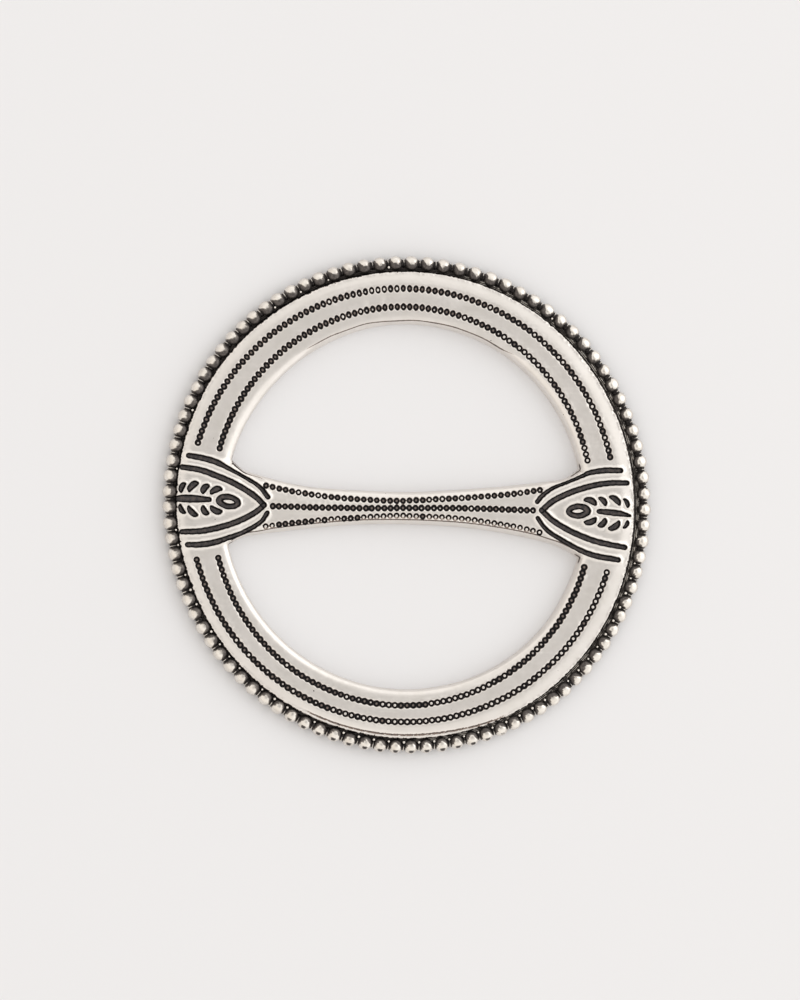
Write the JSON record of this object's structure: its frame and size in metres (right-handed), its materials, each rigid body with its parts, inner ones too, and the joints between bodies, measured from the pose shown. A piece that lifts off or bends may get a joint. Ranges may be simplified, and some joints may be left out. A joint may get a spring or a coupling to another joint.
{
  "type": "scarf ring",
  "caption": "Flat round scarf ring with a waisted bar across it, engraved arches and leaf sprigs at the bar's ends, rows of small punched rings, and beaded wire round the edge.",
  "frame": {"origin": "centre of the ring on the plane of its flat back", "axes": "+X along the bar, +Y across it towards the taller opening, +Z out of the engraved face"},
  "size_m": [0.0668, 0.0668, 0.0023],
  "materials": {
    "antiqued_silver": "satin silver, worn smooth on top and blackened in the engraving and between the beads"
  },
  "bodies": {
    "root": {"scarf_ring": "antiqued_silver"}
  },
  "joints": []
}
